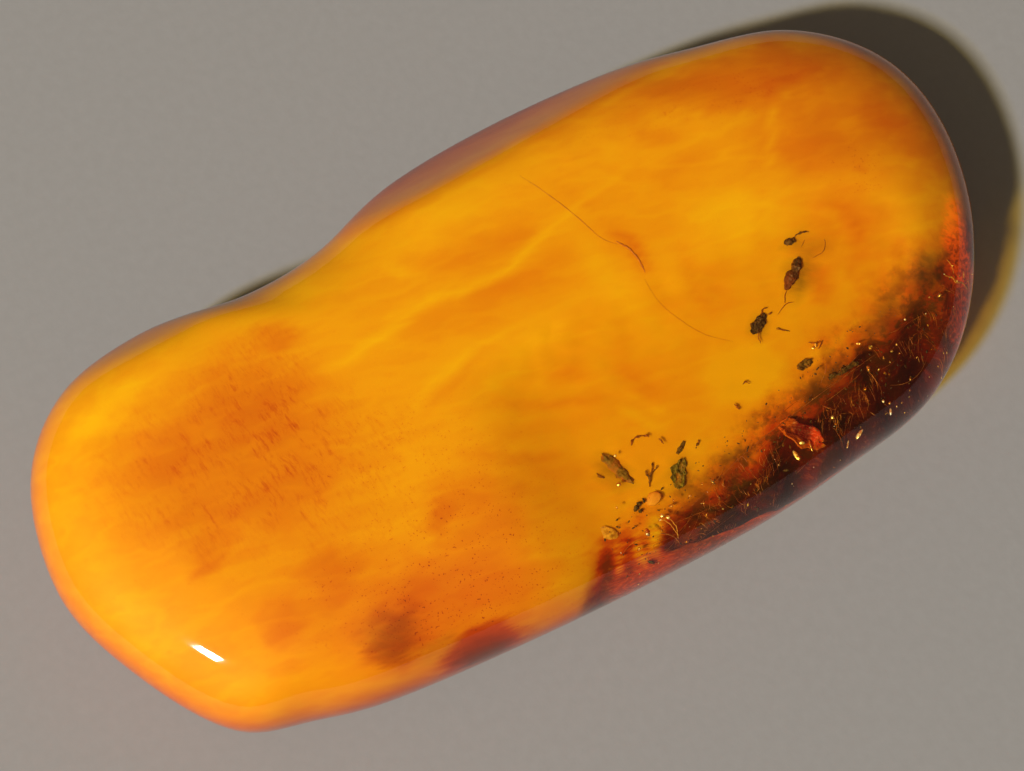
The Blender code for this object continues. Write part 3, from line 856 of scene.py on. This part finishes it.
def milky_body(skin):
    """The milky amber: the skin drawn in, lower under the plants and dropped at the clear edge."""
    count = len(skin.data.vertices)
    points, normals = np.empty(count * 3), np.empty(count * 3)
    skin.data.vertices.foreach_get("co", points)
    skin.data.vertex_normals.foreach_get("vector", normals)
    points, normals = points.reshape(-1, 3) / MM, normals.reshape(-1, 3)
    broad, fine, finest = (drifts(points, size) for size in SWIRL_SIZES)
    clear_rim = CLEAR_RIM * smooth(past_milk(points[:, 0], points[:, 1]), *CLEAR_RIM_START)
    depth = MILK_DEPTH + MILK_RELIEF * broad[:, 2] + clear_rim
    points = points - normals * depth[:, None]
    x, y, z = points.T

    by_plants = smooth(x, *BED_X) * smooth(y, *BED_Y)
    bed = seam_height(y) - BED_GAP + BED_RELIEF * fine[:, 2] - ovals(x, y, DIPS)
    z = z - by_plants * soft_excess(z, bed, BED_SOFTNESS)
    drift_x, drift_y = (points[:, :2] + EDGE_DRIFTS * broad[:, :2]).T
    drop = smooth(past_milk(drift_x, drift_y), *CLEAR_DROP)
    to_left = smooth(x, *LIP_FADE_X)
    lip_width = LIP_WIDTH * (1 - 0.3 * to_left) + LIP_WANDER * fine[:, 0]
    lip = smooth(MILK_DEPTH + CLEAR_RIM + lip_width - inside_rim(x, y), *LIP_EDGE)
    resin = RESIN_TOP + RESIN_RISE * smooth(x, *RESIN_RISE_X) + RESIN_RELIEF * broad[:, 2]
    resin += np.maximum(LIP_TOP + LIP_RELIEF * fine[:, 1] - resin, 0) * lip
    points[:, 2] = z - soft_excess(z, MILK_TOP + (resin - MILK_TOP) * drop)
    faces = [list(face.vertices) for face in skin.data.polygons]
    milk = mesh_object("milky_amber", points, faces)

    by_broad, by_fine = STREAK_DRIFTS
    drift_x, drift_y = (points + by_broad * broad + by_fine * fine)[:, :2].T
    torn = sum(by * swirl for by, swirl in zip(MARK_DRIFTS, (broad, fine, finest)))
    torn_x, torn_y = (points + torn)[:, :2].T
    marks = ovals(torn_x, torn_y, MILK_PATCHES) + streaks(drift_x, drift_y, MILK_STREAKS)
    marks *= MARKS_LOW_DOWN + (1 - MARKS_LOW_DOWN) * smooth(z, *MARKS_HEIGHTS)
    in_clear = smooth(past_milk(x, y), *CLEAR_START)
    # The lip's raised tone is painted light at the clear rim; the red resin patches add their own
    # colour, and a painted glow at the far end.
    redder_and_painted_light = LIP_PAINTED_LIGHT * lip * (1 - 0.5 * to_left) + ovals(drift_x, drift_y, RED_RESIN)
    tone = MILK_TONE + MILK_CONTRAST * marks + PLANTS_TONE * by_plants + in_clear * redder_and_painted_light
    carry(milk, "tone", tone + SLAB_TONE * streaks(drift_x, drift_y, PALE_SLABS))
    torn_x, torn_y = (points + 0.5 * torn)[:, :2].T
    carry(milk, "glow", ovals(torn_x, torn_y, MILK_GLOWS) + LIP_GLOW * lip * in_clear)
    torn_x, torn_y = (points + 0.6 * torn)[:, :2].T
    carry(milk, "smoke", ovals(torn_x, torn_y, MILK_SMOKE))
    carry(milk, "strokes", ovals(x, y, MILK_STROKES))
    carry(milk, "pits", PLAIN_PITS + ovals(x, y, MILK_PITS))
    return finished(milk, milky_finish())


# What was trapped with the plant.

# Threads: a radius, a line in plan and a depth under the skin.
THREADS = {
    "chip_hair": (0.03, ((16.0, -6.6), (16.9, -6.2), (17.5, -6.3)), 1.3),
    "wing_loop": (
        0.035,
        ((19.9, -3.2), (20.6, -2.75), (21.4, -2.8), (21.7, -3.4), (21.2, -4.1), (20.3, -4.2)),
        1.0,
    ),
    "chip_spur": (0.045, ((14.95, -6.15), (15.3, -5.8), (15.65, -5.85)), 1.25),
    "chip_spur_two": (0.045, ((14.3, -7.0), (14.05, -7.35), (14.0, -7.75)), 1.3),
    "chip_crumb": (0.06, ((15.5, -6.3), (15.75, -6.25)), 1.3),
    "bud_root": (0.04, ((17.6, -5.3), (17.2, -5.6), (16.9, -6.1)), 1.3),
    "arc_two": (0.06, ((3.87, -9.69), (4.0, -9.65), (4.11, -9.82)), 1.4),
    "arc_three": (0.06, ((4.6, -10.2), (4.72, -10.4), (4.74, -10.65)), 1.4),
    "flow_line": (0.02, ((4.5, -15.0), (9.8, -13.6), (15.3, -12.7), (21.2, -11.9)), 0.9),
    "filament": (0.05, ((1.8, -15.6), (2.5, -16.1), (2.8, -16.7)), 0.6),
    "bit_one": (0.05, ((16.95, -9.2), (17.5, -9.55)), 1.4),
    "bit_two": (0.04, ((17.3, -9.9), (17.95, -9.5)), 1.4),
    "fleck_one": (0.05, ((11.5, -9.65), (11.75, -9.55), (11.95, -9.8)), 1.5),
    "fleck_two": (0.06, ((10.35, -10.5), (10.42, -10.8), (10.5, -11.0)), 1.5),
}
# A healed crack: it lies on the milk, and its depth is counted from there.
CRACKS = {
    "crack_head": (0.021, ((5.3, 10.6), (6.2, 8.7), (7.2, 6.2), (7.95, 3.9), (8.75, 2.85)), -0.01),
    "crack_slit": (0.075, ((8.75, 3.1), (9.25, 2.3), (9.5, 1.2), (9.4, 0.2)), 0.0),
    "crack_tail": (
        0.015, ((9.15, -0.2), (9.3, -2.0), (9.9, -3.7), (10.9, -5.4), (12.4, -6.8)), -0.01
    ),
}
PALE_WISPS = {
    "rim_wisp": (
        0.06, ((28.2, -9.2), (28.7, -9.5), (28.9, -9.9), (29.4, -10.0), (29.7, -10.5)), 0.6
    ),
    "rim_wisp_two": (0.035, ((28.9, -8.1), (29.1, -8.7), (29.0, -9.3)), 0.6),
    "wisp_one": (0.04, ((2.0, -14.7), (2.6, -15.3), (2.9, -16.2)), 0.7),
    "wisp_two": (0.035, ((2.6, -14.8), (2.95, -15.6), (2.8, -16.4)), 0.7),
}
# Dark grains: x, y, depth, size.
CRUMBS = (
    (1.1, -13.4, 1.5, 0.16), (1.45, -13.25, 1.5, 0.12),
    (1.3, -13.65, 1.55, 0.12), (1.8, -13.2, 1.5, 0.1),
)
PALE_SCALE = (2.42, -13.35, 1.58, 0.62, 0.42, 62)  # an oval one, placed as the flakes below
SCALE_THICKNESS = 0.13  # half of it
# Bright flakes: x, y, depth, half length, half width, turn in degrees.
GLINTS = (
    (20.1, -15.65, 0.5, 0.32, 0.12, -45), (17.4, -15.9, 0.8, 0.42, 0.2, -83),
    (16.4, -16.1, 0.8, 0.4, 0.08, -60), (13.3, -14.7, 1.2, 0.22, 0.14, 0),
    (13.8, -15.05, 1.2, 0.45, 0.06, -35), (16.0, -14.2, 1.1, 0.13, 0.12, 0),
    (12.6, -15.2, 1.2, 0.42, 0.17, -20), (19.8, -14.8, 0.8, 0.12, 0.1, 0),
    (20.2, -15.1, 0.7, 0.12, 0.1, 30), (2.4, -14.65, 1.0, 0.16, 0.14, 0),
    (2.75, -14.9, 1.0, 0.16, 0.14, 0), (1.45, -9.9, 1.2, 0.12, 0.09, 60),
    (0.75, -11.65, 1.2, 0.16, 0.14, 60), (-0.1, -12.9, 1.0, 0.09, 0.08, 0),
    (17.0, -9.7, 1.2, 0.14, 0.09, 40), (17.3, -9.55, 1.2, 0.1, 0.08, 0),
    (19.9, -10.8, 1.0, 0.13, 0.07, 60), (23.8, -10.8, 0.7, 0.1, 0.08, 0),
    (29.2, -8.7, 0.9, 0.1, 0.07, 20), (29.8, -9.5, 0.9, 0.3, 0.08, -60),
    (30.8, -9.5, 0.9, 0.12, 0.1, 0), (30.5, -10.1, 0.9, 0.12, 0.09, 0),
    (29.4, -7.6, 0.9, 0.07, 0.05, 0), (22.4, -12.0, 0.9, 0.09, 0.08, 0),
    (20.0, -10.9, 0.9, 0.1, 0.07, 0), (17.2, -9.7, 0.9, 0.11, 0.08, 30),
    (17.6, -9.5, 0.9, 0.06, 0.05, 0),
)
# Scattered things: how many, the nearest and the furthest past the milk, and the deepest.
COMBS = (96, 0.7, 5.2, 2.2)
ARCS = (44, 0.2, 3.6, 1.8)
FLAKES = (130, 0.0, 6.5, 2.5)
GRAINS = (700, -1.2, 4.0, 2.2)
LEAST_DEPTH = 0.5
SCATTER_ENDS = (-2.0, 33.0)  # along X
COMB_CLUMPS = (5.0, 6.0, 7.0, 8.0, 9.0, 10.0, 11.0, 15.5, 17.0, 19.5, 21.0, 25.0, 28.0)
CLUMP_SPREAD = 1.1
HAIR_MARGIN, GRAIN_MARGIN = 0.15, 0.3  # how far they keep from the skin
HAIR_RADII, LONG_HAIR_RADII = (0.008, 0.022), (0.007, 0.014)
HAIRS_IN_COMB = (3, 10)
LONG_HAIR_LENGTHS = (1.2, 4.5)
FACING = np.array((-0.3, -0.15, 0.94))  # the way that the flakes face
GLINT_THICKNESS, FLAKE_THICKNESS = 0.04, 0.02  # half of it
# Tones of what was trapped: dark, middle and light.
THREAD_TONES = ((0.2, 0.04, 0.002), (0.38, 0.09, 0.004), (0.58, 0.19, 0.008))
CRACK_TONES = ((0.45, 0.11, 0.001), (0.56, 0.16, 0.001), (0.66, 0.21, 0.002))
WISP_TONES = ((0.66, 0.22, 0.01), (0.82, 0.34, 0.02), (0.92, 0.46, 0.05))
HAIR_TONES = ((0.2, 0.03, 0.003), (0.45, 0.1, 0.006), (0.95, 0.4, 0.04))
DUST_TONES = ((0.02, 0.011, 0.002), (0.08, 0.04, 0.005), (0.26, 0.13, 0.02))
FLAKE_STOPS = ((0.35, (0.9, 0.3, 0.04)), (0.5, (1.0, 0.62, 0.15)), (0.62, (1.0, 0.9, 0.6)))


def surface_tree(piece):
    points = [vertex.co / MM for vertex in piece.data.vertices]
    return BVHTree.FromPolygons(points, [list(face.vertices) for face in piece.data.polygons])


def inside(tree, points, margin):
    """Whether every point lies in the nugget, at least a margin from its skin."""
    for point in points:
        near, normal, _, _ = tree.find_nearest(Vector(point))
        if (Vector(point) - near).dot(normal) > -margin:
            return False
    return True


def under_skin(tree, x, y, depth):
    """The point that far below the top of the nugget, or None beside the nugget."""
    hit = tree.ray_cast(Vector((x, y, 30.0)), Vector((0, 0, -1)))[0]
    return None if hit is None else np.array((x, y, hit.z - depth))


def eased(points, count):
    """A smooth path of so many points through a few."""
    points = np.array(points, float)
    knots = np.vstack([2 * points[0] - points[1], points, 2 * points[-1] - points[-2]])
    path = []
    for place in np.linspace(0, len(points) - 1, count):
        number = min(int(place), len(points) - 2)
        path.append(between(*knots[number : number + 4], place - number))
    return np.array(path)


def threads(tree, rng, table):
    """Threads along their paths, thinner at both ends and a little uneven."""
    shapes = []
    for radius, knots, depth in table.values():
        flat = eased(knots, 6 * len(knots))
        flat = flat + rng.normal(0, radius * 0.35, flat.shape)
        path = np.array([under_skin(tree, x, y, depth) for x, y in flat])
        taper = np.sin(np.linspace(0.12, pi - 0.12, len(path))) ** 0.5
        shapes.append(tube(path, radius * taper * rng.uniform(0.7, 1.2, len(path)), sides=7))
    return shapes


def clear_places(tree, rng, scatter, clumps=None):
    """Scattered places in the clear amber. They may keep to clumps along X."""
    count, nearest, furthest, deepest = scatter
    places = []
    while len(places) < count:
        if clumps is None:
            x = rng.uniform(*SCATTER_ENDS)
        else:
            x = rng.choice(clumps) + rng.normal(0, CLUMP_SPREAD)
        y = past_milk(x, 0.0) - rng.uniform(nearest, furthest)
        place = under_skin(tree, x, y, rng.uniform(LEAST_DEPTH, deepest))
        if place is not None and place[2] > RESIN_TOP + 1:
            places.append(place)
    return places


def comb(rng, start):
    """A few fine hairs side by side, running more or less towards the rim."""
    shapes = []
    way = np.array((rng.normal(-0.1, 0.55), -1.0, rng.normal(-0.25, 0.2)))
    way /= np.linalg.norm(way)
    along, bow = rng.normal(0, 1, 3), rng.normal(0, 0.14, 3)
    t = np.linspace(0, 1, 6)[:, None]
    taper = np.sin(np.linspace(0.3, pi - 0.2, len(t)))
    for _ in range(rng.integers(*HAIRS_IN_COMB)):
        length = rng.gamma(3.0, 0.24)
        own = start + along * rng.normal(0, 0.5) + rng.normal(0, 0.15, 3)
        path = own + (way + rng.normal(0, 0.07, 3)) * length * t + bow * length * t * (1 - t) * 4
        shapes.append(tube(path, rng.uniform(*HAIR_RADII) * taper))
    return shapes


def arc(rng, start):
    """One long fine hair that runs along the milk's edge."""
    turn = rng.normal(0.22, 0.16)
    way = np.array((cos(turn), sin(turn), rng.normal(0, 0.06)))
    bow = rng.normal(0, 0.35) * np.array((-sin(turn), cos(turn), 0.0))
    t = np.linspace(0, 1, 10)[:, None]
    taper = np.sin(np.linspace(0.3, pi - 0.3, len(t)))
    path = start + way * rng.uniform(*LONG_HAIR_LENGTHS) * t + bow * t * (1 - t) * 4
    return tube(path, rng.uniform(*LONG_HAIR_RADII) * taper)


def lump(rng, template, place, sizes, turn, tilt, rough):
    """A small grain or flake: a ball pressed to three half sizes, roughened, turned and tilted."""
    points, faces = template
    points = points * (1 + rough * rng.uniform(-1, 1, (len(points), 1))) * sizes
    tilted = np.array(Vector(tilt).to_track_quat("Z", "Y").to_matrix())
    turned = np.array(((cos(turn), -sin(turn), 0), (sin(turn), cos(turn), 0), (0, 0, 1)))
    return points @ (tilted @ turned).T + place, faces


def oval_flake(rng, template, tree, row, thickness, tilt, rough):
    """A flake from its row in a table."""
    x, y, depth, half_length, half_width, turn = row
    sizes = (half_length, half_width, thickness)
    return lump(rng, template, under_skin(tree, x, y, depth), sizes, radians(turn), tilt, rough)


def hairs(rng, tree):
    shapes = []
    for place in clear_places(tree, rng, COMBS, COMB_CLUMPS):
        shapes += comb(rng, place)
    shapes += [arc(rng, place) for place in clear_places(tree, rng, ARCS)]
    return [shape for shape in shapes if inside(tree, shape[0], HAIR_MARGIN)]


def flakes(rng, tree):
    small, fine = ball(1), ball(2)
    shapes = []
    for row in GLINTS:
        tilt = FACING + rng.normal(0, 0.05, 3)
        shapes.append(oval_flake(rng, fine, tree, row, GLINT_THICKNESS, tilt, 0.15))
    for place in clear_places(tree, rng, FLAKES):
        size = rng.gamma(2.5, 0.02) + 0.02
        tilt = FACING + rng.normal(0, 0.25, 3)
        if inside(tree, [place], GRAIN_MARGIN):
            sizes = (size * 1.6, size, FLAKE_THICKNESS)
            shapes.append(lump(rng, small, place, sizes, rng.uniform(0, pi), tilt, 0.2))
    return shapes


def grains(rng, tree):
    small, fine = ball(1), ball(2)
    shapes = []
    for x, y, depth, size in CRUMBS:
        place, sizes = under_skin(tree, x, y, depth), (size * 1.5, size, size * 0.5)
        shapes.append(lump(rng, fine, place, sizes, rng.uniform(0, pi), FACING, 0.35))
    for place in clear_places(tree, rng, GRAINS):
        size = rng.gamma(2.0, 0.014) + 0.01
        tilt = rng.normal(0, 1, 3)
        sizes = (size * rng.uniform(1, 2.5), size, size * 0.7)
        if inside(tree, [place], GRAIN_MARGIN):
            shapes.append(lump(rng, small, place, sizes, rng.uniform(0, pi), tilt, 0.3))
    return shapes


def trapped(skin, milk):
    """Joined pieces of what was trapped. They share one run of random numbers, in this order."""
    rng = np.random.default_rng(7)
    tree = surface_tree(skin)
    dark = threads(tree, rng, THREADS)
    cracks = threads(surface_tree(milk), rng, CRACKS)
    scale = oval_flake(rng, ball(3), tree, PALE_SCALE, SCALE_THICKNESS, FACING, 0.03)
    pale = threads(tree, rng, PALE_WISPS) + [scale]
    wisp = plant_finish("pale_wisp", WISP_TONES, grain=0.4)
    hair = plant_finish("amber_hair", HAIR_TONES, grain=0.6, rough=0.3)
    dust = plant_finish("plant_dust", DUST_TONES, grain=0.5)
    finished(joined("fine_threads", dark), plant_finish("thread", THREAD_TONES))
    finished(joined("healed_crack", cracks), plant_finish("healed_crack", CRACK_TONES))
    finished(joined("pale_wisps", pale), wisp)
    finished(joined("amber_hairs", hairs(rng, tree)), hair)
    finished(joined("bright_flakes", flakes(rng, tree)), flake_finish())
    finished(joined("plant_dust", grains(rng, tree)), dust)


def flake_finish():
    """Tiny cracks and bubbles that catch the lamp."""
    f = Finish("bright_flake")
    tone = f.grain(0.35, 2.0)
    roughness = f.step(tone, 0.3, 0.7, 0.15, 0.4)
    colour = f.ramp(tone, FLAKE_STOPS)
    return f.output(f.shader(Base_Color=colour, Metallic=0.75, Roughness=roughness))


# The studio.


CAMERA_TARGET = Vector((-1.45, -0.8, 6.0))
CAMERA_DISTANCE = 122.0
CAMERA_ELEVATION = 74.0
CAMERA_TURN = -28.3
LAMP_DISTANCE = 2000.0
LAMP_ELEVATION = 43.0
LAMP_TURN = -72.0
LAMP_METRES, LAMP_WATTS = 0.13, 28.0
AROUND = (1.0, 0.85, 0.65, 1.0)
AROUND_STRENGTH = 0.09
FLOOR_HALF = 900.0
FLOOR_TONES = ((0.49, 0.455, 0.41), (0.54, 0.505, 0.46))


def aimed(name, data, turn, elevation, distance, target):
    """A camera or lamp that faces its target, at a turn about the upright, 0 being from -Y."""
    turn, elevation = radians(turn), radians(elevation)
    away = Vector((sin(turn) * cos(elevation), -cos(turn) * cos(elevation), sin(elevation)))
    made = new_object(name, data)
    made.location = (target + away * distance) * MM
    made.rotation_euler = away.to_track_quat("Z", "Y").to_euler()
    return made


def camera():
    data = bpy.data.cameras.new("camera")
    data.lens = 60
    data.sensor_width = 36
    data.clip_start = 0.005
    bpy.context.scene.camera = aimed(
        "camera", data, CAMERA_TURN, CAMERA_ELEVATION, CAMERA_DISTANCE, CAMERA_TARGET
    )


def studio():
    """One square soft lamp, and a faint warm light from all around."""
    data = bpy.data.lights.new("key", "AREA")
    data.size, data.energy = LAMP_METRES, LAMP_WATTS
    aimed("key", data, LAMP_TURN, LAMP_ELEVATION, LAMP_DISTANCE, Vector())
    world = bpy.data.worlds.new("studio")
    world.use_nodes = True
    background = world.node_tree.nodes["Background"].inputs
    background["Color"].default_value = AROUND
    background["Strength"].default_value = AROUND_STRENGTH
    bpy.context.scene.world = world
    bpy.context.scene.view_settings.view_transform = "Standard"


def floor():
    """A plain pale floor of matt board."""
    f = Finish("pale_board")
    speckle = f.grain(0.8, 4.0)
    colour = f.mix(speckle, *FLOOR_TONES)
    f.output(f.shader(Base_Color=colour, Roughness=0.8, Normal=f.bump(speckle, 0.05, 0.3)))
    corners = [(x * FLOOR_HALF, y * FLOOR_HALF, 0) for x, y in ((-1, -1), (1, -1), (1, 1), (-1, 1))]
    board = mesh_object("floor", corners, [[0, 1, 2, 3]])
    board.data.materials.append(f.material)


camera()
studio()
floor()
nugget = clear_body()
milk = milky_body(nugget)
finish_plants()
trapped(nugget, milk)

bpy.context.scene.cycles.max_bounces = 8
